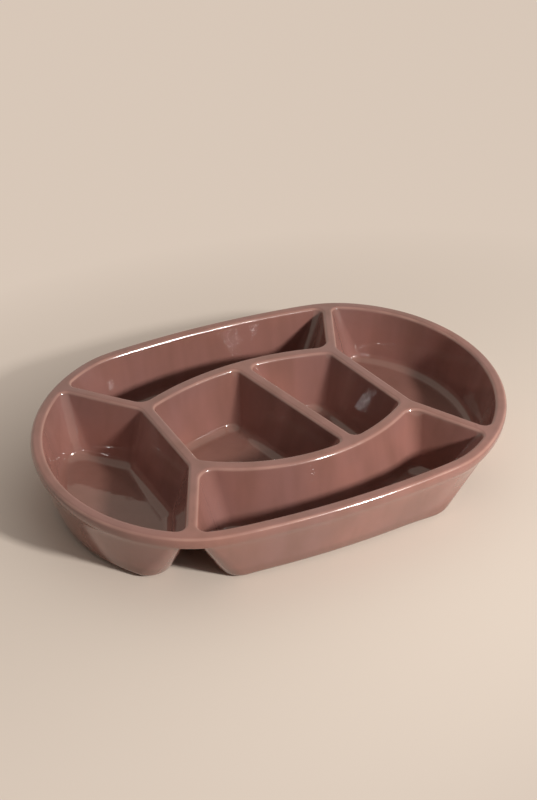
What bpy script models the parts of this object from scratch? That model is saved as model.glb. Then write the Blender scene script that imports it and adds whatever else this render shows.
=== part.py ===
"""Oval snack platter with six wells, in glazed stoneware.

The real platter is one slip-cast, once-fired piece. It is modelled as the forms that it is
made of: a rim band, a web of divider lands, and six drafted cups that hang under them.
Metres, +Z up, +X along the length, +Y to the back. The cups stand on z = 0, and the origin
is under the middle of the rim.
"""

import math

import bmesh
import bpy
import numpy as np

# Whole platter
PLATTER_LENGTH = 0.330
PLATTER_WIDTH = 0.227
PLATTER_HEIGHT = 0.049

# Rim outline: a shallow arc along each side, a half circle's arc at each end, and four
# tighter arcs that ease one into the other
SIDE_RADIUS = 0.622
TIGHT_CORNER_RADIUS = 0.063
OPEN_CORNER_RADIUS = 0.084

# Rim band
BAND_HEIGHT = 0.008
BAND_STEP = 0.0013
BAND_FOOT_RADIUS = 0.0010
RIM_EDGE_RADIUS = 0.0030
RIM_WIDTH = 0.0086
SPOKE_STUB = 0.0070

# Divider lands, between the walls that they part
DIVIDER_WIDTH = 0.0094
SPOKE_WIDTH = 0.0086
LIP_RADIUS = 0.0030
BACK_BULGE = 0.0146
FRONT_BULGE = 0.0255

# Wells, and the cups round them
FLOOR_THICKNESS = 0.0070
FLOOR_RADIUS = 0.0080
FOOT_RADIUS = 0.0075
WALL = 0.0045
CORNER_RADIUS = 0.0055
JUNCTION_RADIUS = 0.0095
# How much rounder a corner gets towards the foot, as a share of the drop from the lip
TIGHT_GROWTH_SHARE = 0.27
OPEN_GROWTH_SHARE = 0.13
RIM_OUTER_LEAN = math.radians(15.5)
RIM_LEAN = math.radians(9.5)
SPOKE_LEAN = math.radians(17.0)
DIVIDER_LEAN = math.radians(16.0)
ARC_LEAN = math.radians(13.5)
CENTRE_LEAN = math.radians(12.0)

# Clearances
SEAM_GAP = 0.0003
OVERRUN = 0.0020

# Places in plan, as shares of the half length and the half width
JUNCTION_SHARES = {
    "back_left": (-0.482, 0.304),
    "front_left": (-0.436, -0.309),
    "back_right": (0.409, 0.397),
    "front_right": (0.515, -0.287),
}
ROOT_SHARES = {
    "back_left": (-0.733, 0.670),
    "front_left": (-0.603, -0.864),
    "back_right": (0.542, 0.851),
    "front_right": (0.700, -0.701),
}
# Ends of the centre divider, as shares of the way round each arc
CENTRE_BACK_SHARE = 0.530
CENTRE_FRONT_SHARE = 0.646

# Mesh density
BAND_STEP_ANGLE = math.radians(5)
GUIDE_STEP_ANGLE = math.radians(1)
LEAST_STEPS = 6
ARC_GUIDE_STEPS = 72
FILLET_STEPS = 3
FOOT_STEPS = 2
CORNER_STEPS = 4
SMOOTH_ANGLE = math.radians(40)

# How far a guide line runs on past its ends: a share of a line or arc, or steps of the rim
RUN_ON_SHARE = 0.25
RUN_ON_STEPS = 12
SIDE_STEPS = {"rim": 16, "spoke": 4, "divider": 4, "arc": 8, "centre": 4}

# Glaze colours, linear: it thins to a lighter brown on the raised edges
RIM_COLOUR = (0.330, 0.175, 0.140)
LAND_COLOUR = (0.300, 0.150, 0.122)
WELL_COLOUR = (0.215, 0.098, 0.080)
GLAZE_ROUGHNESS = 0.15

HALF_LENGTH = PLATTER_LENGTH / 2
HALF_WIDTH = PLATTER_WIDTH / 2
END_RADIUS = HALF_WIDTH
BAND_BOTTOM = PLATTER_HEIGHT - BAND_HEIGHT
LIP_HEIGHT = PLATTER_HEIGHT - LIP_RADIUS
CUP_TOP = BAND_BOTTOM - SEAM_GAP
SEAM_INSET = RIM_WIDTH + SPOKE_STUB

# How far each kind of side stands in from its guide line, and how far its wall leans in
SIDE_INSETS = {
    "rim": RIM_WIDTH,
    "spoke": SPOKE_WIDTH / 2,
    "divider": DIVIDER_WIDTH / 2,
    "arc": DIVIDER_WIDTH / 2,
    "centre": DIVIDER_WIDTH / 2,
}
SIDE_LEANS = {
    "rim": RIM_LEAN,
    "spoke": SPOKE_LEAN,
    "divider": DIVIDER_LEAN,
    "arc": ARC_LEAN,
    "centre": CENTRE_LEAN,
}


def plan_places(shares):
    """Plan positions from shares of the half length and the half width."""
    return {name: np.array([x * HALF_LENGTH, y * HALF_WIDTH]) for name, (x, y) in shares.items()}


def heading(vector):
    return math.atan2(vector[1], vector[0])


def arc(centre, radius, start, turn, steps):
    """Points along an arc, with both of its ends."""
    angles = start + turn * np.linspace(0, 1, steps + 1)
    return centre + radius * np.column_stack([np.cos(angles), np.sin(angles)])


def corner_centre(side_centre, end_centre, radius):
    """Centre of the corner arc that runs smoothly into a side arc and an end arc."""
    side_reach = SIDE_RADIUS - radius
    end_reach = END_RADIUS - radius
    apart = end_centre - side_centre
    distance = np.linalg.norm(apart)
    along = (side_reach**2 - end_reach**2 + distance**2) / (2 * distance)
    across = math.sqrt(side_reach**2 - along**2)
    forward = apart / distance
    sideways = np.array([-forward[1], forward[0]])
    choices = [side_centre + along * forward + sign * across * sideways for sign in (1, -1)]
    return max(choices, key=lambda choice: abs(choice[0]))


def rim_outline(inset, step_angle):
    """The rim's outline moved in by inset: a closed loop that runs anticlockwise."""
    arcs = []
    for x_sign, y_sign in ((1, 1), (-1, 1), (-1, -1), (1, -1)):
        side_centre = np.array([0, y_sign * (HALF_WIDTH - SIDE_RADIUS)])
        end_centre = np.array([x_sign * (HALF_LENGTH - END_RADIUS), 0])
        radius = OPEN_CORNER_RADIUS if x_sign == y_sign else TIGHT_CORNER_RADIUS
        centre = corner_centre(side_centre, end_centre, radius)
        to_side = heading(centre - side_centre)
        to_end = heading(centre - end_centre)
        if x_sign == y_sign:
            arcs += [(centre, radius, to_end), (side_centre, SIDE_RADIUS, to_side)]
        else:
            arcs += [(centre, radius, to_side), (end_centre, END_RADIUS, to_end)]
    pieces = []
    for (centre, radius, start), (_, _, end) in zip(arcs, arcs[1:] + arcs[:1]):
        turn = (end - start) % (2 * math.pi)
        steps = max(LEAST_STEPS, round(turn / step_angle))
        pieces.append(arc(centre, radius - inset, start, turn, steps)[:-1])
    return np.vstack(pieces)


def straight(start, end):
    """A guide line that runs on past both ends, so that lines moved in from it still meet."""
    run_on = RUN_ON_SHARE * (end - start)
    return np.array([start - run_on, end + run_on])


def bowed(start, end, bulge):
    """Centre, radius, first heading and turn of the arc that bulges to the left of its run."""
    chord = end - start
    half = np.linalg.norm(chord) / 2
    left = np.array([-chord[1], chord[0]]) / (2 * half)
    radius = (half**2 + bulge**2) / (2 * bulge)
    centre = (start + end) / 2 + (bulge - radius) * left
    turn = -2 * math.asin(half / radius)
    return centre, radius, heading(left) - turn / 2, turn


def bowed_guide(centre, radius, start, turn):
    """The guide line of an arc, run on past both ends."""
    run_on = RUN_ON_SHARE * turn
    return arc(centre, radius, start - run_on, turn + 2 * run_on, ARC_GUIDE_STEPS)


def point_on_arc(centre, radius, start, turn, share):
    """The point at this share of the way round an arc."""
    angle = start + share * turn
    return centre + radius * np.array([math.cos(angle), math.sin(angle)])


def rim_guide(start, end):
    """The rim's outline from one spoke's root to the next, run on past both."""
    loop = rim_outline(0, GUIDE_STEP_ANGLE)
    first, last = (int(np.argmin(np.linalg.norm(loop - root, axis=1))) for root in (start, end))
    count = (last - first) % len(loop) + 2 * RUN_ON_STEPS
    places = np.arange(count + 1) + first - RUN_ON_STEPS
    return np.take(loop, places, axis=0, mode="wrap")


def moved_in(line, inset):
    """A copy of a line, moved to its left."""
    run = np.gradient(line, axis=0)
    run /= np.linalg.norm(run, axis=1)[:, None]
    return line + inset * np.column_stack([-run[:, 1], run[:, 0]])


def crossing(first, second):
    """Where two lines cross, as a place along each of them, counted in their points."""
    start, run = first[:-1, None], np.diff(first, axis=0)[:, None]
    other_start, other_run = second[None, :-1], np.diff(second, axis=0)[None]
    apart = other_start - start
    square = run[..., 0] * other_run[..., 1] - run[..., 1] * other_run[..., 0]
    with np.errstate(divide="ignore", invalid="ignore"):
        along = (apart[..., 0] * other_run[..., 1] - apart[..., 1] * other_run[..., 0]) / square
        other = (apart[..., 0] * run[..., 1] - apart[..., 1] * run[..., 0]) / square
    hits = np.argwhere((along >= 0) & (along < 1) & (other >= 0) & (other < 1))
    place, other_place = hits[0]
    return place + along[place, other_place], other_place + other[place, other_place]


def points_at(line, places):
    """The points at these places along a line."""
    counted = np.arange(len(line))
    return np.column_stack([np.interp(places, counted, line[:, axis]) for axis in (0, 1)])


def well_outline(sides, insets, radii):
    """A closed outline from four guide lines moved in, with a round corner after each side.

    It has the same number of points at any inset, so that outlines loft together.
    """
    starts, ends, corners = {}, {}, {}
    for index, radius in enumerate(radii):
        after = (index + 1) % len(sides)
        inner = moved_in(sides[index][1], insets[index] + radius)
        inner_after = moved_in(sides[after][1], insets[after] + radius)
        ends[index], starts[after] = crossing(inner, inner_after)
        corners[index] = points_at(inner, [ends[index]])[0]
    outline = []
    for index, (kind, guide) in enumerate(sides):
        wall = moved_in(guide, insets[index])
        places = np.linspace(starts[index], ends[index], SIDE_STEPS[kind] + 1)
        outline.append(points_at(wall, places)[:-1])
        after = (index + 1) % len(sides)
        next_wall = moved_in(sides[after][1], insets[after])
        from_wall = points_at(wall, [ends[index]])[0] - corners[index]
        to_wall = points_at(next_wall, [starts[after]])[0] - corners[index]
        turn = (heading(to_wall) - heading(from_wall)) % (2 * math.pi)
        rounded = arc(corners[index], radii[index], heading(from_wall), turn, CORNER_STEPS)
        outline.append(rounded[:-1])
    return np.vstack(outline)


def wall_inset(height, top_inset, top, lean, floor, radius):
    """How far in a leaning wall stands at this height, with its rounding into the floor."""
    centre_height = floor + radius
    if height >= centre_height - radius * math.sin(lean):
        return top_inset + (top - height) * math.tan(lean)
    centre_inset = top_inset + (top - centre_height) * math.tan(lean) + radius / math.cos(lean)
    drop = min(centre_height - height, radius)
    return centre_inset - math.sqrt(radius**2 - drop**2)


def rounding_inset(height, floor, radius):
    """How far the rounding into a floor stands in from the foot of its wall at this height."""
    drop = min(max(floor + radius - height, 0), radius)
    return radius - math.sqrt(radius**2 - drop**2)


def inner_insets(sides, height):
    """How far in each side of a well stands at this height."""
    return [
        wall_inset(
            height, SIDE_INSETS[kind], LIP_HEIGHT, SIDE_LEANS[kind], FLOOR_THICKNESS, FLOOR_RADIUS
        )
        for kind, _ in sides
    ]


def outer_insets(sides, height):
    """How far in each outer side of a cup stands at this height."""
    insets = []
    for kind, _ in sides:
        lean = SIDE_LEANS[kind]
        top_inset = SIDE_INSETS[kind] + (LIP_HEIGHT - CUP_TOP) * math.tan(lean) - WALL
        if kind == "rim":
            lean = RIM_OUTER_LEAN
            top_inset = BAND_STEP
        insets.append(wall_inset(height, top_inset, CUP_TOP, lean, 0, FOOT_RADIUS))
    return insets


def rounding_heights(floor, radius):
    """Heights of the rings round a fillet, from the wall down to the floor."""
    angles = np.linspace(0, math.pi / 2, FILLET_STEPS + 1)
    return floor + radius * (1 - np.sin(angles))


def corner_radii(sides, height):
    """The radius of the corner after each side at this height, on the inside of a well.

    It is wider where three lands meet outside the centre, and grows towards the foot elsewhere,
    most of all at the back left and the front right, where the rim turns tightest.
    """
    drop = LIP_HEIGHT - height
    open_radius = CORNER_RADIUS + OPEN_GROWTH_SHARE * drop
    tight_radius = CORNER_RADIUS + TIGHT_GROWTH_SHARE * drop
    if all(kind != "rim" for kind, _ in sides):
        return [open_radius] * len(sides)
    outer_ends = (sides[1][1][0], sides[3][1][-1])
    at_rim = [tight_radius if x * y < 0 else open_radius for x, y in outer_ends]
    return [at_rim[0], JUNCTION_RADIUS, JUNCTION_RADIUS, at_rim[1]]


def inner_ring(sides, height):
    """A ring round the inside of a well."""
    rounded = rounding_inset(height, FLOOR_THICKNESS, FLOOR_RADIUS)
    radii = [radius - rounded for radius in corner_radii(sides, height)]
    return well_outline(sides, inner_insets(sides, height), radii), height


def outer_ring(sides, height):
    """A ring round the outside of a cup."""
    rounded = rounding_inset(height, 0, FOOT_RADIUS)
    radii = [radius + WALL - rounded for radius in corner_radii(sides, height)]
    return well_outline(sides, outer_insets(sides, height), radii), height


def cup_rings(sides):
    """Rings over a whole cup: up its outer wall, over its top and down into the well."""
    outer_heights = [*rounding_heights(0, FOOT_RADIUS)[::-1], CUP_TOP]
    inner_heights = [CUP_TOP, *rounding_heights(FLOOR_THICKNESS, FLOOR_RADIUS)]
    outside = [outer_ring(sides, height) for height in outer_heights]
    return outside + [inner_ring(sides, height) for height in inner_heights]


def mouth_rings(sides):
    """Rings over the tool that opens a well's mouth: its walls, then its round lip."""
    rings = [inner_ring(sides, BAND_BOTTOM - OVERRUN)]
    wall = inner_insets(sides, LIP_HEIGHT)
    radii = corner_radii(sides, LIP_HEIGHT)
    for angle in np.linspace(0, math.pi / 2, FILLET_STEPS + 1):
        flare = LIP_RADIUS * (1 - math.cos(angle))
        insets = [inset - flare for inset in wall]
        flared = [radius + flare for radius in radii]
        height = LIP_HEIGHT + LIP_RADIUS * math.sin(angle)
        rings.append((well_outline(sides, insets, flared), height))
    rings.append((rings[-1][0], PLATTER_HEIGHT + OVERRUN))
    return rings


def band_rings():
    """Rings round the rim band's section: its foot, its outer face, its edge and its inside."""
    section = []
    for angle in np.linspace(0, math.pi / 2, FOOT_STEPS + 1):
        inset = BAND_FOOT_RADIUS * (1 - math.sin(angle))
        section.append((inset, BAND_BOTTOM + BAND_FOOT_RADIUS * (1 - math.cos(angle))))
    for angle in np.linspace(0, math.pi / 2, FILLET_STEPS + 1):
        inset = RIM_EDGE_RADIUS * (1 - math.cos(angle))
        section.append((inset, PLATTER_HEIGHT - RIM_EDGE_RADIUS * (1 - math.sin(angle))))
    section += [(SEAM_INSET, PLATTER_HEIGHT), (SEAM_INSET, BAND_BOTTOM)]
    return [(rim_outline(inset, BAND_STEP_ANGLE), height) for inset, height in section]


def web_rings():
    """Rings over the slab that the divider lands are cut from."""
    outline = rim_outline(SEAM_INSET + SEAM_GAP, BAND_STEP_ANGLE)
    return [(outline, BAND_BOTTOM), (outline, PLATTER_HEIGHT)]


def loft(name, rings, collection, closed=False):
    """A solid through rings of equal count. A closed one joins its last ring to its first."""
    mesh_data = bmesh.new()
    loops = [
        [mesh_data.verts.new((x, y, height)) for x, y in outline] for outline, height in rings
    ]
    pairs = list(zip(loops, loops[1:]))
    if closed:
        pairs.append((loops[-1], loops[0]))
    else:
        mesh_data.faces.new(loops[0])
        mesh_data.faces.new(loops[-1])
    for lower, upper in pairs:
        for index in range(len(lower)):
            before = index - 1
            mesh_data.faces.new((lower[before], lower[index], upper[index], upper[before]))
    bmesh.ops.recalc_face_normals(mesh_data, faces=mesh_data.faces)
    mesh = bpy.data.meshes.new(name)
    mesh_data.to_mesh(mesh)
    mesh_data.free()
    mesh.shade_smooth()
    mesh.set_sharp_from_angle(angle=SMOOTH_ANGLE)
    solid = bpy.data.objects.new(name, mesh)
    collection.objects.link(solid)
    return solid


def glaze(solid, colour):
    """Gives a solid its own glaze."""
    material = bpy.data.materials.new(solid.name + "_glaze")
    material.use_nodes = True
    shader = material.node_tree.nodes["Principled BSDF"]
    shader.inputs["Base Color"].default_value = (*colour, 1)
    shader.inputs["Roughness"].default_value = GLAZE_ROUGHNESS
    shader.inputs["Metallic"].default_value = 0
    solid.data.materials.append(material)


def well_guides():
    """The four sides of each well, anticlockwise from the first, as (kind, guide line)."""
    junctions = plan_places(JUNCTION_SHARES)
    roots = plan_places(ROOT_SHARES)
    back = bowed(junctions["back_left"], junctions["back_right"], BACK_BULGE)
    front = bowed(junctions["front_right"], junctions["front_left"], FRONT_BULGE)
    back_arc = bowed_guide(*back)
    front_arc = bowed_guide(*front)
    left = straight(junctions["front_left"], junctions["back_left"])
    right = straight(junctions["back_right"], junctions["front_right"])
    centre_back = point_on_arc(*back, CENTRE_BACK_SHARE)
    centre_front = point_on_arc(*front, 1 - CENTRE_FRONT_SHARE)
    centre = straight(centre_front, centre_back)
    spokes = {name: straight(roots[name], junctions[name]) for name in roots}
    return {
        "left_end_well": (
            ("rim", rim_guide(roots["back_left"], roots["front_left"])),
            ("spoke", spokes["front_left"]),
            ("divider", left),
            ("spoke", spokes["back_left"][::-1]),
        ),
        "right_end_well": (
            ("rim", rim_guide(roots["front_right"], roots["back_right"])),
            ("spoke", spokes["back_right"]),
            ("divider", right),
            ("spoke", spokes["front_right"][::-1]),
        ),
        "back_well": (
            ("rim", rim_guide(roots["back_right"], roots["back_left"])),
            ("spoke", spokes["back_left"]),
            ("arc", back_arc),
            ("spoke", spokes["back_right"][::-1]),
        ),
        "front_well": (
            ("rim", rim_guide(roots["front_left"], roots["front_right"])),
            ("spoke", spokes["front_right"]),
            ("arc", front_arc),
            ("spoke", spokes["front_left"][::-1]),
        ),
        "centre_left_well": (
            ("arc", back_arc[::-1]),
            ("divider", left[::-1]),
            ("arc", front_arc[::-1]),
            ("centre", centre),
        ),
        "centre_right_well": (
            ("arc", back_arc[::-1]),
            ("centre", centre[::-1]),
            ("arc", front_arc[::-1]),
            ("divider", right[::-1]),
        ),
    }


def clear_scene():
    for leftover in list(bpy.data.objects):
        bpy.data.objects.remove(leftover)


def new_collection(name):
    collection = bpy.data.collections.new(name)
    bpy.context.scene.collection.children.link(collection)
    return collection


def main():
    clear_scene()
    platter = new_collection("snack_platter")
    cutters = new_collection("cutters")
    for name, sides in well_guides().items():
        cup = loft(name, cup_rings(sides), platter)
        glaze(cup, WELL_COLOUR)
        cutter = loft(name + "_mouth", mouth_rings(sides), cutters)
        cutter.hide_render = True
        cutter.display_type = "WIRE"
    band = loft("rim_band", band_rings(), platter, closed=True)
    glaze(band, RIM_COLOUR)
    web = loft("divider_web", web_rings(), platter)
    glaze(web, LAND_COLOUR)
    for solid in (band, web):
        mouths = solid.modifiers.new("well_mouths", "BOOLEAN")
        mouths.operation = "DIFFERENCE"
        mouths.solver = "EXACT"
        mouths.operand_type = "COLLECTION"
        mouths.collection = cutters


if __name__ == "__main__":
    main()
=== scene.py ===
"""Looks of the divided snack platter: one fired piece of glazed stoneware with six wells.

The rim band, the divider web and the six cups are closed meshes whose faces meet exactly, so
that the platter reads as one glazed body. Metres, +Z up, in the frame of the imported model.
"""

import math

import bmesh
import bpy
import numpy as np
from mathutils import Matrix, Vector


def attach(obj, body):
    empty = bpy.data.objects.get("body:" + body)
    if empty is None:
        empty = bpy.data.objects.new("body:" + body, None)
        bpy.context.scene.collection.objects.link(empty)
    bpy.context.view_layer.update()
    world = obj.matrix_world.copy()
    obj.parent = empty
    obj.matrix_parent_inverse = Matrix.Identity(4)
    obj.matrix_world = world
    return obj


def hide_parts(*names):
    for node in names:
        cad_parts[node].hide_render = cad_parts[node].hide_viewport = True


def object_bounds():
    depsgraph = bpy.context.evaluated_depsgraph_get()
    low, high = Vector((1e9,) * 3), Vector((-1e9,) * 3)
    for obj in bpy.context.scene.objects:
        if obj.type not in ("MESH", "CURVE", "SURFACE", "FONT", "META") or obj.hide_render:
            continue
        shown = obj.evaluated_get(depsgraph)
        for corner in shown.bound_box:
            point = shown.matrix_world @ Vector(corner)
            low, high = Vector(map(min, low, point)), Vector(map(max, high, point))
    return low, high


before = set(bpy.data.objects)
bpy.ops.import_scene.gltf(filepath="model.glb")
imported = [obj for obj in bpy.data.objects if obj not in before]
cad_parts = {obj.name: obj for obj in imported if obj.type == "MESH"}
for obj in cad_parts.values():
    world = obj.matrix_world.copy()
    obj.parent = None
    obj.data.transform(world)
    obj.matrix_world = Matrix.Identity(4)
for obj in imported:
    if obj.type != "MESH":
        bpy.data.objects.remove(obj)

bl_info = {
    "name": "Divided Snack Platter",
    "version": (1, 0, 0),
    "blender": (4, 5, 0),
    "location": "3D View > Sidebar > Platter",
    "description": "Builds an oval glazed stoneware platter with six wells on a studio stage",
    "category": "Add Mesh",
}

CAD_BOX = [list(corner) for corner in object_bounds()]
FRAME_SIZE = [round(high - low, 4) for low, high in zip(*CAD_BOX)]

# Plan of the platter, as in the solids
SIDE_RADIUS = 0.622
TIGHT_CORNER_RADIUS = 0.063
OPEN_CORNER_RADIUS = 0.084
BACK_BULGE = 0.0146
FRONT_BULGE = 0.0255
JUNCTION_SHARES = {
    "back_left": (-0.482, 0.304),
    "front_left": (-0.436, -0.309),
    "back_right": (0.409, 0.397),
    "front_right": (0.515, -0.287),
}
ROOT_SHARES = {
    "back_left": (-0.733, 0.670),
    "front_left": (-0.603, -0.864),
    "back_right": (0.542, 0.851),
    "front_right": (0.700, -0.701),
}
CENTRE_BACK_SHARE = 0.530
CENTRE_FRONT_SHARE = 0.646

# Walls of the wells
WALL = 0.0045
CORNER_RADIUS = 0.0055
JUNCTION_RADIUS = 0.0095
TIGHT_GROWTH_SHARE = 0.27
OPEN_GROWTH_SHARE = 0.13
RIM_OUTER_LEAN = math.radians(15.5)
SIDE_LEANS = {
    "rim": math.radians(9.5),
    "spoke": math.radians(17.0),
    "divider": math.radians(16.0),
    "arc": math.radians(13.5),
    "centre": math.radians(12.0),
}

# Columns of faces along each kind of side and round each corner, and rings up the walls
SIDE_COLUMNS = {"rim": 112, "spoke": 18, "divider": 24, "arc": 64, "centre": 28}
CORNER_COLUMNS = 14
LIP_STEPS = 9
FOOT_STEPS = 6
WALL_RINGS = 16
FILLET_RINGS = 12

# Points in the guide lines, how far these run on past their ends, and how soft the rim's arcs meet
RIM_POINTS = 720
ARC_POINTS = 240
RUN_ON_POINTS = 20
RUN_ON_SHARE = 0.25
RIM_SOFTENING = 0.009

# The flat strip beside each rounded edge, and how the meshes are smoothed and closed
SUPPORT_WIDTH = 0.00035
SMOOTH_ANGLE = math.radians(40)
MERGE_DISTANCE = 1e-6

# Inputs of the nodes that raise a cup, by their kind
CUP_INPUTS = {
    "Geometry": ("Geometry",),
    "Float": (
        "Lip Height",
        "Seam Height",
        "Floor Height",
        "Floor Radius",
        "Foot Radius",
        "Shoulder Height",
        "Level Margin",
    ),
    "Int": ("Columns", "Wall Rings", "Fillet Rings"),
    "Material": ("Glaze",),
}

# Noises of the glaze and the clay, as scale per metre and detail, and the ranges taken from them
DRIFT_NOISE = (16.0, 3.0)
DRIFT_RANGE = (0.35, 0.7)
RUN_NOISE = (60.0, 2.0)
RUN_STRETCH = (1, 1, 0.12)
RUN_RANGE = (0.4, 0.75)
RUN_STRENGTH = 0.5
PATCH_NOISE = (42.0, 2.0)
GLOSS_NOISE = (24.0, 2.0)
SWELL_NOISE = (32.0, 3.0)
STAIN_NOISE = (90.0, 4.0)
NOISE_RANGE = (0.3, 0.7)

# Grain and specks of the fired clay
GRAIN_SCALE = 900.0
GRAIN_DETAIL = 3.0
SPECK_SCALE = 420.0
GLAZE_SPECK_SIZE = 0.16
CLAY_SPECK_SIZE = 0.3
CHANCE_NOISE = (95.0, 1.0)
CHANCE_RANGE = (0.5, 0.75)

# Where the lips lighten, partly thinner glaze and partly painted highlight, in shares of their
# rounding down from the lands, and how patchy
THIN_AND_HIGHLIGHT_SHARES = {"From": 0.62, "Full From": 0.38, "Full To": 0.20, "To": 0.04}
THIN_AND_HIGHLIGHT_PATCHES = (0.25, 1.0)

# Where it darkens, partly pooled glaze and partly painted shade: from the ground up through the
# floors' rounding, in shares of it
POOL_AND_SHADE_FULL_SHARE = 0.1
POOL_AND_SHADE_SHARE = 0.8
POOL_AND_SHADE_STRENGTH = 0.5

# Surfaces, with each bump as strength and distance
GLAZE_NAME = "Mauve brown glaze"
SPECK_STRENGTH = 0.35
GLAZE_ROUGHNESS = (0.010, 0.028)
LIP_ROUGHNESS = 0.13
GLAZE_IOR = 1.55
COAT_WEIGHT = 0.35
COAT_ROUGHNESS = 0.01
SWELL_BUMP = (0.6, 0.0009)
PEEL_BUMP = (0.05, 0.0002)
CLAY_NAME = "Bare fired clay"
STAIN_SHARE = 0.6
CLAY_ROUGHNESS = (0.7, 0.9)
CLAY_BUMP = (0.4, 0.0003)
FLOOR_ROUGHNESS = 0.9
FLOOR_SPECULAR = 0.2

# The floor's reach, and how much of its tone doesn't depend on the lamps far from the platter
FLOOR_HALF = 3.0
PALE_RANGE = (1.0, 2.8)
PALE_SHARE = 0.96

# The light from all round: its shares by how far up it comes from, and towards the shaded side
SURROUND_TINT = (1.0, 0.95, 0.90)
UPWARD_RANGE = (0.0, 0.7)
UPWARD_SHARES = (0.40, 1.3)
SHADED_SIDE = (-0.401, -0.873, 0.278)
SHADED_RANGE = (-0.8, 0.92)
SHADED_SHARES = (2.4, 0.05)

# The lamps and the camera
LAMP_TARGET = (0, 0, 0.02)
LAMP_TINT = (1.0, 0.99, 0.97)
KEY_PLACE = (0.46, -0.91, 0.635)
KEY_SIZE = (0.10, 0.10)
STRIP_PLACE = (0.47, -0.93, 0.649)
STRIP_SIZE = (0.9, 0.10)
CAMERA_PLACE = (-0.28866, -0.61062, 0.54396)
CAMERA_TARGET = (-0.000756, 0.006805, 0.049)
CAMERA_ROLL = math.radians(0.5)
CAMERA_LENS = 55.67
SENSOR_WIDTH = 36

# The order of the outer wells round the platter, each with its first spoke shared with the next
OUTER_WELLS = ("left_end_well", "front_well", "right_end_well", "back_well")
CENTRE_WELLS = ("centre_left_well", "centre_right_well")


def length(name, description, default):
    """A length in metres that a user may change."""
    return bpy.props.FloatProperty(
        name=name, description=description, default=default, unit="LENGTH", precision=5
    )


def colour(name, description, default):
    """A linear colour that a user may change."""
    return bpy.props.FloatVectorProperty(
        name=name, description=description, default=default, subtype="COLOR", size=3, min=0, max=1
    )


class PlatterSizes(bpy.types.PropertyGroup):
    """Sizes of the platter, as in the solids but for the rounder band foot and shoulder."""

    platter_length: length("Length", "Length of the rim", FRAME_SIZE[0])
    platter_width: length("Width", "Width of the rim", FRAME_SIZE[1])
    platter_height: length("Height", "Height from the table to the lands", FRAME_SIZE[2])
    band_height: length("Band height", "Height of the rim band's outer face", 0.008)
    band_step: length("Band step", "How far the band stands out over the cups", 0.0013)
    band_foot_height: length("Band foot height", "How far up the band its foot is rounded", 0.0040)
    band_foot_radius: length("Band foot radius", "Rounding of the band's foot", 0.0100)
    shoulder_height: length("Shoulder height", "How far down the cups swell to the band", 0.0050)
    rim_edge_radius: length("Rim edge radius", "Rounding of the rim's outer edge", 0.0030)
    rim_width: length("Rim width", "From the rim's outline to the wells' walls", 0.0086)
    divider_width: length("Divider width", "Between the walls that a divider parts", 0.0094)
    spoke_width: length("Spoke width", "Between the walls that a spoke parts", 0.0086)
    lip_radius: length("Lip radius", "Rounding of the lands' edges", 0.0030)
    floor_thickness: length("Floor thickness", "Clay under the floor of a well", 0.0070)
    floor_radius: length("Floor radius", "Rounding between a well's walls and floor", 0.0080)
    foot_radius: length("Foot radius", "Rounding under the cups", 0.0075)


class PlatterColours(bpy.types.PropertyGroup):
    """Colours of the glaze, the bare clay and the stage."""

    glaze: colour("Glaze", "Glaze on the walls and lands", (0.252, 0.123, 0.106))
    warm_glaze: colour("Warm glaze", "Rosier drifts in the glaze", (0.305, 0.136, 0.108))
    # This lighter colour on the lips' edges is partly thinner glaze, partly a painted highlight
    thin_glaze_and_highlight: colour("Thin glaze and highlight", "Glaze that thins on the edges", (0.400, 0.212, 0.168))
    # This darker colour is also painted shade low down in the wells and on the cups' feet
    pooled_glaze_and_shade: colour("Pooled glaze and shade", "Glaze that pools in the floors", (0.185, 0.085, 0.062))
    clay: colour("Clay", "Bare clay under the feet", (0.480, 0.360, 0.260))
    floor: colour("Floor", "The table under the platter", (0.700, 0.600, 0.512))
    backdrop: colour("Backdrop", "What shows behind the table", (0.700, 0.585, 0.490))


class PlatterLights(bpy.types.PropertyGroup):
    """Strength of the lamps and of the light from all round."""

    key_power: bpy.props.FloatProperty(
        name="Key", description="Small lamp to the front right", default=13.9, unit="POWER"
    )
    strip_power: bpy.props.FloatProperty(
        name="Strip", description="Wide dim strip behind the key lamp", default=1.2, unit="POWER"
    )
    surround: bpy.props.FloatProperty(
        name="Surround", description="Strength of the light from all round", default=0.315
    )


def plan_places(shares, size):
    """Plan positions from shares of the half length and the half width."""
    halves = np.array([size.platter_length, size.platter_width]) / 2
    return {name: np.array(pair) * halves for name, pair in shares.items()}


def heading(vector):
    return math.atan2(vector[1], vector[0])


def leftward(line):
    """The direction to the left of a line at each of its points."""
    run = np.gradient(line, axis=0)
    run /= np.linalg.norm(run, axis=1)[:, None]
    return np.column_stack([-run[:, 1], run[:, 0]])


def arc(centre, radius, start, turn, steps):
    """Points along an arc, with both of its ends."""
    angles = start + turn * np.linspace(0, 1, steps + 1)
    return centre + radius * np.column_stack([np.cos(angles), np.sin(angles)])


def corner_centre(side_centre, end_centre, end_radius, radius):
    """Centre of the corner arc that runs smoothly into a side arc and an end arc."""
    side_reach = SIDE_RADIUS - radius
    end_reach = end_radius - radius
    apart = end_centre - side_centre
    distance = np.linalg.norm(apart)
    along = (side_reach**2 - end_reach**2 + distance**2) / (2 * distance)
    across = math.sqrt(side_reach**2 - along**2)
    forward = apart / distance
    sideways = np.array([-forward[1], forward[0]])
    choices = [side_centre + along * forward + sign * across * sideways for sign in (1, -1)]
    return max(choices, key=lambda choice: abs(choice[0]))


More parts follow.
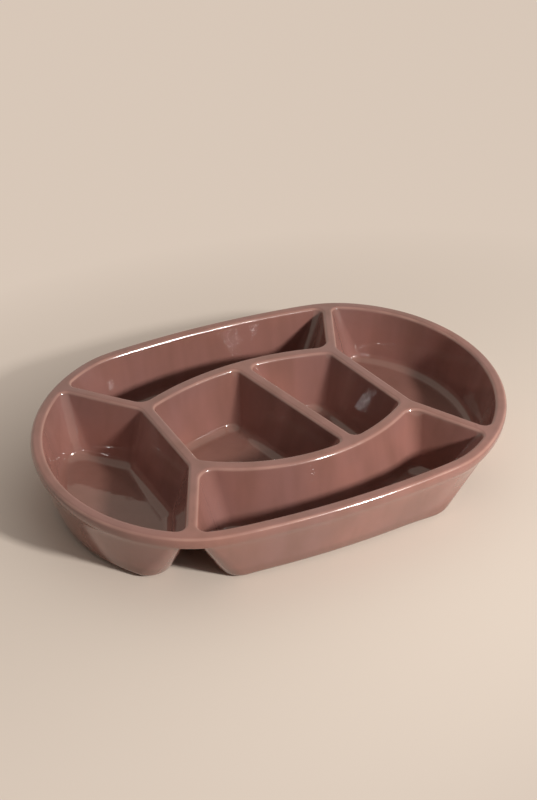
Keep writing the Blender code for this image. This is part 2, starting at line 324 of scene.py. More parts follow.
def rim_loop(size):
    """The rim's outline, evenly spaced and softened where one arc runs into the next."""
    half_length = size.platter_length / 2
    half_width = size.platter_width / 2
    arcs = []
    for x_sign, y_sign in ((1, 1), (-1, 1), (-1, -1), (1, -1)):
        side_centre = np.array([0, y_sign * (half_width - SIDE_RADIUS)])
        end_centre = np.array([x_sign * (half_length - half_width), 0])
        radius = OPEN_CORNER_RADIUS if x_sign == y_sign else TIGHT_CORNER_RADIUS
        centre = corner_centre(side_centre, end_centre, half_width, radius)
        to_side = heading(centre - side_centre)
        to_end = heading(centre - end_centre)
        if x_sign == y_sign:
            arcs += [(centre, radius, to_end), (side_centre, SIDE_RADIUS, to_side)]
        else:
            arcs += [(centre, radius, to_side), (end_centre, half_width, to_end)]
    pieces = []
    for (centre, radius, start), (_, _, end) in zip(arcs, arcs[1:] + arcs[:1]):
        turn = (end - start) % (2 * math.pi)
        pieces.append(arc(centre, radius, start, turn, ARC_POINTS)[:-1])
    loop = np.vstack(pieces + [pieces[0][:1]])
    travelled = np.concatenate([[0], np.cumsum(np.linalg.norm(np.diff(loop, axis=0), axis=1))])
    even = np.linspace(0, travelled[-1], RIM_POINTS, endpoint=False)
    loop = np.column_stack([np.interp(even, travelled, loop[:, axis]) for axis in (0, 1)])
    waves = 2 * math.pi * np.fft.fftfreq(RIM_POINTS, travelled[-1] / RIM_POINTS)
    soft = np.exp(-((waves * RIM_SOFTENING) ** 2) / 2)
    keep = soft * (2 - soft)
    return np.fft.ifft(np.fft.fft(loop, axis=0) * keep[:, None], axis=0).real


def loop_inward(loop):
    """The inward direction at each point of a loop that runs anticlockwise."""
    wrapped = np.vstack([loop[-1:], loop, loop[:1]])
    return leftward(wrapped)[1:-1]


def straight(start, end):
    """A guide line that runs on past both ends, so that lines moved in from it still meet."""
    run_on = RUN_ON_SHARE * (end - start)
    return np.array([start - run_on, end + run_on])


def bowed(start, end, bulge):
    """Centre, radius, first heading and turn of the arc that bulges to the left of its run."""
    chord = end - start
    half = np.linalg.norm(chord) / 2
    left = np.array([-chord[1], chord[0]]) / (2 * half)
    radius = (half**2 + bulge**2) / (2 * bulge)
    centre = (start + end) / 2 + (bulge - radius) * left
    turn = -2 * math.asin(half / radius)
    return centre, radius, heading(left) - turn / 2, turn


def bowed_guide(centre, radius, start, turn):
    """The guide line of an arc, run on past both ends."""
    run_on = RUN_ON_SHARE * turn
    return arc(centre, radius, start - run_on, turn + 2 * run_on, ARC_POINTS)


def point_on_arc(centre, radius, start, turn, share):
    angle = start + share * turn
    return centre + radius * np.array([math.cos(angle), math.sin(angle)])


def rim_guide(loop, start, end):
    """The rim's outline from one spoke's root to the next, run on past both."""
    first, last = (int(np.argmin(np.linalg.norm(loop - root, axis=1))) for root in (start, end))
    count = (last - first) % len(loop) + 2 * RUN_ON_POINTS
    places = np.arange(count + 1) + first - RUN_ON_POINTS
    return np.take(loop, places, axis=0, mode="wrap")


def crossing(first, second):
    """Where two lines cross, as a place along each of them, counted in their points."""
    start, run = first[:-1, None], np.diff(first, axis=0)[:, None]
    other_start, other_run = second[None, :-1], np.diff(second, axis=0)[None]
    apart = other_start - start
    square = run[..., 0] * other_run[..., 1] - run[..., 1] * other_run[..., 0]
    with np.errstate(divide="ignore", invalid="ignore"):
        along = (apart[..., 0] * other_run[..., 1] - apart[..., 1] * other_run[..., 0]) / square
        other = (apart[..., 0] * run[..., 1] - apart[..., 1] * run[..., 0]) / square
    hits = np.argwhere((along >= 0) & (along < 1) & (other >= 0) & (other < 1))
    place, other_place = hits[0]
    return place + along[place, other_place], other_place + other[place, other_place]


def points_at(line, places):
    counted = np.arange(len(line))
    return np.column_stack([np.interp(places, counted, line[:, axis]) for axis in (0, 1)])


def well_outline(sides, insets, radii):
    """A closed outline from four guide lines moved in, and the inward direction all along it."""
    lefts = [leftward(guide) for _, guide in sides]

    def moved_in(index, inset):
        return sides[index][1] + inset * lefts[index]

    starts, ends, corners = {}, {}, {}
    for index, radius in enumerate(radii):
        after = (index + 1) % len(sides)
        inner = moved_in(index, insets[index] + radius)
        inner_after = moved_in(after, insets[after] + radius)
        ends[index], starts[after] = crossing(inner, inner_after)
        corners[index] = points_at(inner, [ends[index]])[0]
    outline, inward = [], []
    for index, (kind, _) in enumerate(sides):
        places = np.linspace(starts[index], ends[index], SIDE_COLUMNS[kind] + 1)[:-1]
        outline.append(points_at(moved_in(index, insets[index]), places))
        direction = points_at(lefts[index], places)
        inward.append(direction / np.linalg.norm(direction, axis=1)[:, None])
        after = (index + 1) % len(sides)
        from_wall = -points_at(lefts[index], [ends[index]])[0]
        to_wall = -points_at(lefts[after], [starts[after]])[0]
        turn = (heading(to_wall) - heading(from_wall)) % (2 * math.pi)
        rounded = arc(np.zeros(2), 1, heading(from_wall), turn, CORNER_COLUMNS)[:-1]
        outline.append(corners[index] + radii[index] * rounded)
        inward.append(-rounded)
    return np.vstack(outline), np.vstack(inward)


def well_guides(size):
    """The four sides of each well, anticlockwise from the first, as (kind, guide line)."""
    loop = rim_loop(size)
    junctions = plan_places(JUNCTION_SHARES, size)
    roots = plan_places(ROOT_SHARES, size)
    back = bowed(junctions["back_left"], junctions["back_right"], BACK_BULGE)
    front = bowed(junctions["front_right"], junctions["front_left"], FRONT_BULGE)
    back_arc = bowed_guide(*back)
    front_arc = bowed_guide(*front)
    left = straight(junctions["front_left"], junctions["back_left"])
    right = straight(junctions["back_right"], junctions["front_right"])
    centre_back = point_on_arc(*back, CENTRE_BACK_SHARE)
    centre_front = point_on_arc(*front, 1 - CENTRE_FRONT_SHARE)
    centre = straight(centre_front, centre_back)
    spokes = {name: straight(roots[name], junctions[name]) for name in roots}

    def outer_well(first, last, kind, inner_side):
        return (
            ("rim", rim_guide(loop, roots[first], roots[last])),
            ("spoke", spokes[last]),
            (kind, inner_side),
            ("spoke", spokes[first][::-1]),
        )

    return {
        "left_end_well": outer_well("back_left", "front_left", "divider", left),
        "right_end_well": outer_well("front_right", "back_right", "divider", right),
        "back_well": outer_well("back_right", "back_left", "arc", back_arc),
        "front_well": outer_well("front_left", "front_right", "arc", front_arc),
        "centre_left_well": (
            ("arc", back_arc[::-1]),
            ("divider", left[::-1]),
            ("arc", front_arc[::-1]),
            ("centre", centre),
        ),
        "centre_right_well": (
            ("arc", back_arc[::-1]),
            ("centre", centre[::-1]),
            ("arc", front_arc[::-1]),
            ("divider", right[::-1]),
        ),
    }


def corner_radii(sides, drop):
    """The radius of the corner after each side, at this drop below the lip."""
    open_radius = CORNER_RADIUS + OPEN_GROWTH_SHARE * drop
    tight_radius = CORNER_RADIUS + TIGHT_GROWTH_SHARE * drop
    if all(kind != "rim" for kind, _ in sides):
        return [open_radius] * len(sides)
    outer_ends = (sides[1][1][0], sides[3][1][-1])
    at_rim = [tight_radius if x * y < 0 else open_radius for x, y in outer_ends]
    return [at_rim[0], JUNCTION_RADIUS, JUNCTION_RADIUS, at_rim[1]]


def wall_outline(sides, size, drop, outside):
    """The outline of a well's wall, or of its cup's outer wall, at this drop below the lip."""
    side_insets = {
        "rim": size.rim_width,
        "spoke": size.spoke_width / 2,
        "divider": size.divider_width / 2,
        "arc": size.divider_width / 2,
        "centre": size.divider_width / 2,
    }
    radii = corner_radii(sides, drop)
    insets = [side_insets[kind] + drop * math.tan(SIDE_LEANS[kind]) for kind, _ in sides]
    if outside:
        radii = [radius + WALL for radius in radii]
        below_band = drop - (size.band_height - size.lip_radius)
        at_rim = size.band_step + below_band * math.tan(RIM_OUTER_LEAN)
        insets = [
            at_rim if kind == "rim" else inset - WALL
            for (kind, _), inset in zip(sides, insets)
        ]
    return well_outline(sides, insets, radii)


def wall_rule(sides, size, outside):
    """A wall as a rule: its line at the lip's height, how it moves per drop, and inward."""
    foot_drop = size.platter_height - size.lip_radius - size.floor_thickness
    top, inward = wall_outline(sides, size, 0, outside)
    foot, _ = wall_outline(sides, size, foot_drop, outside)
    return top, (foot - top) / foot_drop, inward


def mouth_rings(sides, size):
    """Rings up a well's mouth, over its lip and on to the level land: (ring, column, axis)."""
    top, draft, inward = wall_rule(sides, size, outside=False)
    lip_height = size.platter_height - size.lip_radius
    band_bottom = size.platter_height - size.band_height
    lean = np.arctan(np.sum(draft * inward, axis=1))
    radius = size.lip_radius
    start = size.platter_height - radius * (1 - np.sin(lean))
    rings = []

    def add_ring(drop, outward, height):
        plan = top + draft * drop[:, None] - inward * outward[:, None]
        rings.append(np.column_stack([plan, height]))

    level = np.full(len(top), band_bottom)
    for share in (0, 0.5):
        height = level + share * (start - level)
        add_ring(lip_height - height, np.zeros(len(top)), height)
    for share in np.linspace(0, 1, LIP_STEPS + 1):
        angle = lean + share * (math.pi / 2 - lean)
        outward = radius * (np.cos(lean) - np.cos(angle))
        add_ring(lip_height - start, outward, start + radius * (np.sin(angle) - np.sin(lean)))
    land = np.full(len(top), size.platter_height)
    add_ring(lip_height - start, radius * np.cos(lean) + SUPPORT_WIDTH, land)
    return np.array(rings)


def rim_rings(size):
    """Rings up the rim band's outer face and over its edge on to the level land."""
    loop = rim_loop(size)
    inward = loop_inward(loop)
    bottom = size.platter_height - size.band_height
    foot_turn = math.asin(size.band_foot_height / size.band_foot_radius)
    section = []
    for angle in np.linspace(foot_turn, 0, FOOT_STEPS + 1):
        inset = size.band_foot_radius * (1 - math.cos(angle))
        height = bottom + size.band_foot_height - size.band_foot_radius * math.sin(angle)
        section.append((inset, height))
    for angle in np.linspace(0, math.pi / 2, LIP_STEPS + 1):
        inset = size.rim_edge_radius * (1 - math.cos(angle))
        section.append((inset, size.platter_height - size.rim_edge_radius * (1 - math.sin(angle))))
    section.append((size.rim_edge_radius + SUPPORT_WIDTH, size.platter_height))
    rings = []
    for inset, height in section:
        rings.append(np.column_stack([loop + inset * inward, np.full(len(loop), height)]))
    return np.array(rings)


def seam_columns(sides):
    """The columns of a well, one past each corner at the rim, where the band meets the web."""
    counts = [SIDE_COLUMNS[kind] + CORNER_COLUMNS for kind, _ in sides]
    return counts[0] + 1, sum(counts) - CORNER_COLUMNS - 1


def add_rows(mesh_data, rings, top_edges, bottom_edges, closed):
    """Rows of vertices joined by faces. Their top and bottom edges go into the two lists."""
    rows = [[mesh_data.verts.new(point) for point in ring] for ring in rings]
    join_rows(mesh_data, rows, closed)
    top_edges += edges_along(mesh_data, rows[-1], closed)
    bottom_edges += edges_along(mesh_data, rows[0], closed)
    return rows


def join_rows(mesh_data, rows, closed):
    """Faces between each row and the next."""
    for lower, upper in zip(rows, rows[1:]):
        first = 0 if closed else 1
        for index in range(first, len(lower)):
            corners = (lower[index - 1], lower[index], upper[index], upper[index - 1])
            mesh_data.faces.new(corners)


def edges_along(mesh_data, row, closed):
    """The edges from each vertex of a row to the next."""
    after = row[1:] + row[:1] if closed else row[1:]
    pairs = zip(row, after)
    return [mesh_data.edges.get(pair) or mesh_data.edges.new(pair) for pair in pairs]


def finish_mesh(mesh_data, name, materials):
    """A smooth object from mesh data, with its faces outwards."""
    bmesh.ops.recalc_face_normals(mesh_data, faces=mesh_data.faces)
    mesh = bpy.data.meshes.new(name)
    mesh_data.to_mesh(mesh)
    mesh_data.free()
    mesh.shade_smooth()
    mesh.set_sharp_from_angle(angle=SMOOTH_ANGLE)
    for material in materials:
        mesh.materials.append(material)
    return bpy.data.objects.new(name, mesh)


def place_piece(piece, node):
    """Puts a finished piece in the scene in the place of its solid."""
    bpy.context.scene.collection.objects.link(piece)
    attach(piece, "root")
    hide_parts(node)


def close_seams(mesh_data, rows, top_edges, bottom_edges):
    """Faces across the spokes where the band meets the web, and all the level faces."""
    for index, name in enumerate(OUTER_WELLS):
        after = OUTER_WELLS[(index + 1) % len(OUTER_WELLS)]
        near = [row[-1] for row in rows[name]]
        far = [row[0] for row in rows[after]]
        mesh_data.faces.new(near + far[::-1])
        top_edges.append(mesh_data.edges.get((near[-1], far[-1])))
        bottom_edges.append(mesh_data.edges.get((near[0], far[0])))
    for edges in (top_edges, bottom_edges):
        bmesh.ops.triangle_fill(mesh_data, use_beauty=True, edges=edges, normal=(0, 0, 1))


def build_web(size, materials):
    """The divider web: level lands with round lips, and the walls under them."""
    mesh_data = bmesh.new()
    guides = well_guides(size)
    rows, top_edges, bottom_edges = {}, [], []
    for name in OUTER_WELLS:
        first, last = seam_columns(guides[name])
        rings = mouth_rings(guides[name], size)[:, first:last + 1]
        rows[name] = add_rows(mesh_data, rings[:, ::-1], top_edges, bottom_edges, closed=False)
    for name in CENTRE_WELLS:
        add_rows(mesh_data, mouth_rings(guides[name], size), top_edges, bottom_edges, closed=True)
    close_seams(mesh_data, rows, top_edges, bottom_edges)
    return finish_mesh(mesh_data, "divider_lands", materials)


def build_band(size, materials):
    """The rim band: its outer face, its round edges and the rim's land."""
    mesh_data = bmesh.new()
    guides = well_guides(size)
    rows, top_edges, bottom_edges = {}, [], []
    add_rows(mesh_data, rim_rings(size), top_edges, bottom_edges, closed=True)
    for name in OUTER_WELLS:
        first, last = seam_columns(guides[name])
        rings = mouth_rings(guides[name], size)
        rings = np.concatenate([rings[:, last:], rings[:, :first + 1]], axis=1)
        rows[name] = add_rows(mesh_data, rings, top_edges, bottom_edges, closed=False)
    close_seams(mesh_data, rows, top_edges, bottom_edges)
    return finish_mesh(mesh_data, "rim_and_band", materials)


class TreeWriter:
    """Adds linked nodes to a node tree."""

    def __init__(self, tree):
        self.tree = tree

    def feed(self, socket, value):
        """Links or sets an input."""
        if isinstance(value, bpy.types.NodeSocket):
            self.tree.links.new(value, socket)
        else:
            socket.default_value = value

    def add(self, kind, inputs=None, **settings):
        """A node with its settings, and with its inputs linked or set."""
        node = self.tree.nodes.new(kind)
        for key, value in settings.items():
            setattr(node, key, value)
        for key, value in (inputs or {}).items():
            self.feed(node.inputs[key], value)
        return node

    def math(self, operation, *values, clamp=False):
        """A math node's result."""
        inputs = dict(enumerate(values))
        return self.add("ShaderNodeMath", inputs, operation=operation, use_clamp=clamp).outputs[0]

    def vectors(self, operation, *values):
        """A vector math node's result."""
        places = (0, "Scale") if operation == "SCALE" else (0, 1)
        node = self.add("ShaderNodeVectorMath", dict(zip(places, values)), operation=operation)
        return node.outputs["Value" if operation in ("DOT_PRODUCT", "LENGTH") else "Vector"]

    def spread(self, value, ends, to_ends=(0.0, 1.0), **settings):
        """A value mapped from one range to another."""
        inputs = dict(enumerate((value, *ends, *to_ends)))
        return self.add("ShaderNodeMapRange", inputs, **settings).outputs[0]

    def noise_at(self, place, scale, detail):
        """Noise at a place."""
        inputs = {"Vector": place, "Scale": scale, "Detail": detail}
        return self.add("ShaderNodeTexNoise", inputs).outputs[0]


def add_socket(tree, name, in_out, kind, default=None):
    """A named socket on a tree's face."""
    socket = tree.interface.new_socket(name, in_out=in_out, socket_type="NodeSocket" + kind)
    if default is not None:
        socket.default_value = default


def cup_tree():
    """Geometry Nodes that raise a whole cup from one ring of points that carries its rule.

    Each ring of the cup has a count from the seam down: outside it runs to the foot, inside to
    the floor. The wall falls in a straight line, and then turns through a fillet.
    """
    tree = bpy.data.node_groups.new("Drafted Cup", "GeometryNodeTree")
    for kind, names in CUP_INPUTS.items():
        for name in names:
            add_socket(tree, name, "INPUT", kind)
    add_socket(tree, "Geometry", "OUTPUT", "Geometry")
    writer = TreeWriter(tree)
    sums, vectors = writer.math, writer.vectors
    given = writer.add("NodeGroupInput").outputs

    # Rings from the seam to the end of the fillet, with one more on the level, out and in
    ring_span = sums("ADD", sums("ADD", given["Wall Rings"], given["Fillet Rings"]), 1)
    half_rings = sums("ADD", ring_span, 1)
    all_rings = sums("MULTIPLY", half_rings, 2)
    grid = writer.add(
        "GeometryNodeMeshGrid",
        {"Vertices X": sums("ADD", given["Columns"], 1), "Vertices Y": all_rings},
    )
    index = writer.add("GeometryNodeInputIndex").outputs[0]
    column = sums("MODULO", sums("FLOOR", sums("DIVIDE", index, all_rings)), given["Columns"])
    ring = sums("MODULO", index, all_rings)
    inside = sums("GREATER_THAN", ring, sums("SUBTRACT", half_rings, 0.5))
    count_out = sums("SUBTRACT", ring_span, ring)
    count_in = sums("SUBTRACT", ring, half_rings)

    def pick(data_type, outer, inner):
        place, result = (4, 1) if data_type == "VECTOR" else (2, 0)
        inputs = {0: inside, place: outer, place + 1: inner}
        return writer.add("ShaderNodeMix", inputs, data_type=data_type).outputs[result]

    def carried(label):
        values = []
        for wall in ("outer", "inner"):
            value = writer.add(
                "GeometryNodeInputNamedAttribute",
                {"Name": wall + "_" + label},
                data_type="FLOAT_VECTOR",
            )
            sample = writer.add(
                "GeometryNodeSampleIndex",
                {"Geometry": given["Geometry"], "Value": value.outputs[0], "Index": column},
                data_type="FLOAT_VECTOR",
            )
            values.append(sample.outputs[0])
        return pick("VECTOR", *values)

    top = carried("line")
    draft = carried("draft")
    inward = carried("inward")
    shoulder = carried("shoulder")
    count = pick("FLOAT", count_out, count_in)
    floor = pick("FLOAT", 0.0, given["Floor Height"])
    radius = pick("FLOAT", given["Foot Radius"], given["Floor Radius"])

    # How far down its wall and round its fillet each ring is, and the height that gives
    lean = sums("ARCTANGENT", vectors("DOT_PRODUCT", draft, inward))
    wall_share = sums("DIVIDE", count, given["Wall Rings"], clamp=True)
    past_wall = sums("SUBTRACT", count, given["Wall Rings"])
    turn_share = sums("DIVIDE", past_wall, given["Fillet Rings"], clamp=True)
    turn = sums("MULTIPLY", turn_share, sums("SUBTRACT", math.pi / 2, lean))
    angle = sums("ADD", lean, turn)
    fall = sums("MULTIPLY", radius, sums("SUBTRACT", 1.0, sums("SINE", angle)))
    low = sums("ADD", floor, fall)
    seam_to_low = sums("SUBTRACT", low, given["Seam Height"])
    closer_to_seam = sums("MULTIPLY", wall_share, wall_share)
    height = sums("MULTIPLY_ADD", closer_to_seam, seam_to_low, given["Seam Height"])

    # Its place in plan: down the draft, in through the fillet and out over the shoulder
    drop = sums("SUBTRACT", given["Lip Height"], height)
    turned_in = sums("MULTIPLY", radius, sums("SUBTRACT", 1.0, sums("COSINE", turn)))
    rounded = sums("DIVIDE", turned_in, sums("COSINE", lean))
    past_fillet = sums("SUBTRACT", past_wall, given["Fillet Rings"], clamp=True)
    extra = sums("MULTIPLY_ADD", past_fillet, given["Level Margin"], rounded)
    plan = vectors("ADD", vectors("SCALE", draft, drop), vectors("SCALE", inward, extra))
    under_seam = sums("SUBTRACT", given["Seam Height"], height)
    fade = sums("SUBTRACT", 1.0, sums("DIVIDE", under_seam, given["Shoulder Height"]), clamp=True)
    plan = vectors("ADD", plan, vectors("SCALE", shoulder, sums("MULTIPLY", fade, fade)))
    rise = writer.add("ShaderNodeCombineXYZ", {2: height}).outputs[0]
    place = vectors("ADD", vectors("ADD", top, plan), rise)
    moved = writer.add(
        "GeometryNodeSetPosition", {"Geometry": grid.outputs[0], "Position": place}
    )
    merged = writer.add(
        "GeometryNodeMergeByDistance",
        {"Geometry": moved.outputs[0], "Distance": MERGE_DISTANCE},
    )
    realized = writer.add("GeometryNodeRealizeInstances", {0: merged.outputs[0]})
    glazed = writer.add(
        "GeometryNodeSetMaterial",
        {"Geometry": realized.outputs[0], "Material": given["Glaze"]},
    )
    writer.add("NodeGroupOutput", {0: glazed.outputs[0]})
    return tree


def shoulder_reach(sides, size):
    """How far a cup's outer wall swells out to meet the band's foot, at each column."""
    counts = [SIDE_COLUMNS[kind] for kind, _ in sides]
    if sides[0][0] != "rim":
        return np.zeros(sum(counts) + CORNER_COLUMNS * len(sides))
    turn = math.asin(size.band_foot_height / size.band_foot_radius)
    step = size.band_step - size.band_foot_radius * (1 - math.cos(turn))
    away = np.linspace(1, 0, CORNER_COLUMNS)
    others = np.zeros(sum(counts[1:]) + CORNER_COLUMNS * (len(sides) - 2))
    return step * np.concatenate([np.ones(counts[0]), away, others, away[::-1]])


def rule_mesh(name, sides, size):
    """A ring of points that carries the rule of a cup's two walls."""
    lines = {}
    for label, outside in (("inner", False), ("outer", True)):
        top, draft, inward = wall_rule(sides, size, outside)
        lines[label + "_line"] = top
        lines[label + "_draft"] = draft
        lines[label + "_inward"] = inward
        reach = shoulder_reach(sides, size) if outside else np.zeros(len(top))
        lines[label + "_shoulder"] = -reach[:, None] * inward
    mesh = bpy.data.meshes.new(name)
    mesh.vertices.add(len(top))
    for label, values in lines.items():
        flat = np.column_stack([values, np.zeros(len(values))])
        mesh.attributes.new(label, "FLOAT_VECTOR", "POINT").data.foreach_set("vector", flat.ravel())
    return mesh


def build_cup(name, sides, size, tree, materials):
    """One cup, from its rule to a closed mesh with its foot left bare."""
    raised = bpy.data.objects.new(name + "_rule", rule_mesh(name + "_rule", sides, size))
    bpy.context.scene.collection.objects.link(raised)
    modifier = raised.modifiers.new("Drafted Cup", "NODES")
    modifier.node_group = tree
    settings = {
        "Lip Height": size.platter_height - size.lip_radius,
        "Seam Height": size.platter_height - size.band_height,
        "Floor Height": size.floor_thickness,
        "Floor Radius": size.floor_radius,
        "Foot Radius": size.foot_radius,
        "Shoulder Height": size.shoulder_height,
        "Level Margin": SUPPORT_WIDTH,
        "Columns": len(raised.data.vertices),
        "Wall Rings": WALL_RINGS,
        "Fillet Rings": FILLET_RINGS,
        "Glaze": materials[0],
    }
    for item in tree.interface.items_tree:
        if item.in_out == "INPUT" and item.name in settings:
            modifier[item.identifier] = settings[item.name]
    evaluated = raised.evaluated_get(bpy.context.evaluated_depsgraph_get())
    mesh = bpy.data.meshes.new_from_object(evaluated)
    mesh.materials.clear()
    bpy.data.objects.remove(raised)
    mesh_data = bmesh.new()
    mesh_data.from_mesh(mesh)
    open_edges = [edge for edge in mesh_data.edges if edge.is_boundary]
    bmesh.ops.holes_fill(mesh_data, edges=open_edges, sides=0)
    for face in mesh_data.faces:
        face.material_index = 0
        if all(vertex.co.z < MERGE_DISTANCE for vertex in face.verts):
            face.material_index = 1
    if any(not edge.is_manifold for edge in mesh_data.edges):
        raise RuntimeError(name + " isn't closed")
    return finish_mesh(mesh_data, name.replace("_well", "_cup"), materials)


def shader_group(name, inputs, outputs):
    """An empty shader group with named inputs and outputs. An input without a value is a vector."""
    tree = bpy.data.node_groups.new(name, "ShaderNodeTree")
    for label, default in inputs.items():
        add_socket(tree, label, "INPUT", "Vector" if default is None else "Float", default)
    for label in outputs:
        add_socket(tree, label, "OUTPUT", "Float")
    writer = TreeWriter(tree)
    return tree, writer, writer.add("NodeGroupInput").outputs


def grain_group():
    """Fine grain of fired clay: a soft value and scattered specks."""
    tree, writer, given = shader_group(
        "Fine Grain",
        {
            "Vector": None,
            "Grain Scale": GRAIN_SCALE,
            "Speck Scale": SPECK_SCALE,
            "Speck Size": GLAZE_SPECK_SIZE,
        },
        ("Grain", "Specks"),
    )
    place = given["Vector"]
    grain = writer.noise_at(place, given["Grain Scale"], GRAIN_DETAIL)
    cells = writer.add("ShaderNodeTexVoronoi", {"Vector": place, "Scale": given["Speck Scale"]})
    chance = writer.noise_at(place, *CHANCE_NOISE)
    reach = writer.spread(chance, CHANCE_RANGE, (0.0, given["Speck Size"]))
    specks = writer.spread(cells.outputs["Distance"], (reach, 0.0))
    writer.add("NodeGroupOutput", {0: grain, 1: specks})
    return tree


def level_group():
    """A mask that is 1 between two heights, with soft shoulders."""
    labels = ("Height", "From", "Full From", "Full To", "To")
    tree, writer, given = shader_group("Level Mask", dict.fromkeys(labels, 0.0), ("Mask",))
    sides = []
    for outer, inner in (("From", "Full From"), ("To", "Full To")):
        ends = (given[outer], given[inner])
        sides.append(writer.spread(given["Height"], ends, interpolation_type="SMOOTHSTEP"))
    writer.add("NodeGroupOutput", {0: writer.math("MULTIPLY", *sides)})
    return tree


class MaterialWriter(TreeWriter):
    """Adds nodes to a new material that has one Principled BSDF."""

    def __init__(self, name):
        self.material = bpy.data.materials.new(name)
        self.material.use_nodes = True
        super().__init__(self.material.node_tree)
        self.shader = self.tree.nodes["Principled BSDF"]
        self.place = self.add("ShaderNodeTexCoord").outputs["Object"]

    def set(self, name, value):
        """Links or sets an input of the shader."""
        self.feed(self.shader.inputs[name], value)

    def group(self, tree, inputs):
        """The outputs of a placed node group."""
        return self.add("ShaderNodeGroup", inputs, node_tree=tree).outputs

    def mix(self, mask, *colours):
        """A colour between two, by a mask."""
        inputs = {0: mask}
        for place, value in zip((6, 7), colours):
            inputs[place] = value if isinstance(value, bpy.types.NodeSocket) else (*value, 1)
        return self.add("ShaderNodeMix", inputs, data_type="RGBA").outputs[2]

    def noise(self, scale, detail, stretch=(1, 1, 1)):
        """Noise on object coordinates, stretched along an axis."""
        mapped = self.add("ShaderNodeMapping", {"Vector": self.place, "Scale": stretch})
        return self.noise_at(mapped.outputs[0], scale, detail)

    def bump(self, strength, distance, height, **more):
        """The normal that a height gives."""
        inputs = {"Strength": strength, "Distance": distance, "Height": height, **more}
        return self.add("ShaderNodeBump", inputs).outputs[0]


def glaze_material(size, colours, grain, level):
    """Glossy mauve-brown glaze: drifts, runs down the walls, thin lips with painted highlight,
    pools with painted shade.
    """
    writer = MaterialWriter(GLAZE_NAME)
    height = writer.add("ShaderNodeSeparateXYZ", {0: writer.place}).outputs["Z"]
    drift = writer.spread(writer.noise(*DRIFT_NOISE), DRIFT_RANGE)
    runs = writer.spread(writer.noise(*RUN_NOISE, RUN_STRETCH), RUN_RANGE, (0.0, RUN_STRENGTH))
    body = writer.mix(drift, colours.glaze, colours.warm_glaze)
    body = writer.mix(runs, body, colours.pooled_glaze_and_shade)
    grains = writer.group(grain, {"Vector": writer.place})
    # Lighter band on the lips' edges: partly thinner glaze, partly a painted highlight
    levels = {"Height": height}
    for label, share in THIN_AND_HIGHLIGHT_SHARES.items():
        levels[label] = size.platter_height - share * size.lip_radius
    thin_and_highlight = writer.group(level, levels)["Mask"]
    patchy = writer.spread(writer.noise(*PATCH_NOISE), NOISE_RANGE, THIN_AND_HIGHLIGHT_PATCHES)
    # Darker low down, on the floors, their roundings and the cups' feet: partly pooled glaze,
    # partly painted shade
    pool_and_shade = writer.group(
        level,
        {
            "Height": height,
            "From": -size.floor_thickness,
            "Full From": 0.0,
            "Full To": size.floor_thickness + POOL_AND_SHADE_FULL_SHARE * size.floor_radius,
            "To": size.floor_thickness + POOL_AND_SHADE_SHARE * size.floor_radius,
        },
    )
    pool_and_shade_part = writer.math("MULTIPLY", pool_and_shade["Mask"], POOL_AND_SHADE_STRENGTH)
    body = writer.mix(pool_and_shade_part, body, colours.pooled_glaze_and_shade)
    body = writer.mix(writer.math("MULTIPLY", thin_and_highlight, patchy), body, colours.thin_glaze_and_highlight)
    speckled = writer.math("MULTIPLY", grains["Specks"], SPECK_STRENGTH)
    writer.set("Base Color", writer.mix(speckled, body, colours.thin_glaze_and_highlight))
    even = writer.spread(writer.noise(*GLOSS_NOISE), NOISE_RANGE, GLAZE_ROUGHNESS)
    on_lips = writer.math("MULTIPLY", thin_and_highlight, LIP_ROUGHNESS)
    writer.set("Roughness", writer.math("ADD", even, on_lips))
    writer.set("IOR", GLAZE_IOR)
    writer.set("Coat Weight", COAT_WEIGHT)
    writer.set("Coat Roughness", writer.math("ADD", on_lips, COAT_ROUGHNESS))
    swell = writer.bump(*SWELL_BUMP, writer.noise(*SWELL_NOISE))
    writer.set("Normal", writer.bump(*PEEL_BUMP, grains["Grain"], Normal=swell))
    return writer.material


def clay_material(colours, grain):
    """Bare fired clay under the feet."""
    writer = MaterialWriter(CLAY_NAME)
    grains = writer.group(grain, {"Vector": writer.place, "Speck Size": CLAY_SPECK_SIZE})
    dark = tuple(STAIN_SHARE * part for part in colours.clay)
    stain = writer.spread(writer.noise(*STAIN_NOISE), NOISE_RANGE)
    body = writer.mix(stain, colours.clay, dark)
    writer.set("Base Color", writer.mix(grains["Specks"], body, dark))
    writer.set("Roughness", writer.spread(grains["Grain"], NOISE_RANGE, CLAY_ROUGHNESS))
    writer.set("Normal", writer.bump(*CLAY_BUMP, grains["Grain"]))
    return writer.material


def seen_directly(writer):
    """1 for rays from the camera and for what gloss and glass show, else 0."""
    path = writer.add("ShaderNodeLightPath").outputs
    seen = writer.math("MAXIMUM", path["Is Camera Ray"], path["Is Glossy Ray"])
    return writer.math("MAXIMUM", seen, path["Is Transmission Ray"])


def floor_material(size, colours):
    """A plain pale floor that keeps its shadows and stays pale far from the lamps."""
    writer = MaterialWriter("Pale floor")
    writer.set("Base Color", (*colours.floor, 1))
    writer.set("Roughness", FLOOR_ROUGHNESS)
    writer.set("Specular IOR Level", FLOOR_SPECULAR)
    glow = writer.add("ShaderNodeEmission", {"Color": (*colours.backdrop, 1), "Strength": 1.0})
    per_half = (2 / size.platter_length, 2 / size.platter_width, 0)
    plan = writer.add("ShaderNodeMapping", {"Vector": writer.place, "Scale": per_half})
    away = writer.vectors("LENGTH", plan.outputs[0])
    pale = writer.spread(away, PALE_RANGE, (0.0, PALE_SHARE))
    share = writer.math("MULTIPLY", seen_directly(writer), pale)
    mixed = writer.add(
        "ShaderNodeMixShader", {0: share, 1: writer.shader.outputs[0], 2: glow.outputs[0]}
    )
    output = writer.tree.nodes["Material Output"]
    writer.feed(output.inputs["Surface"], mixed.outputs[0])
    return writer.material


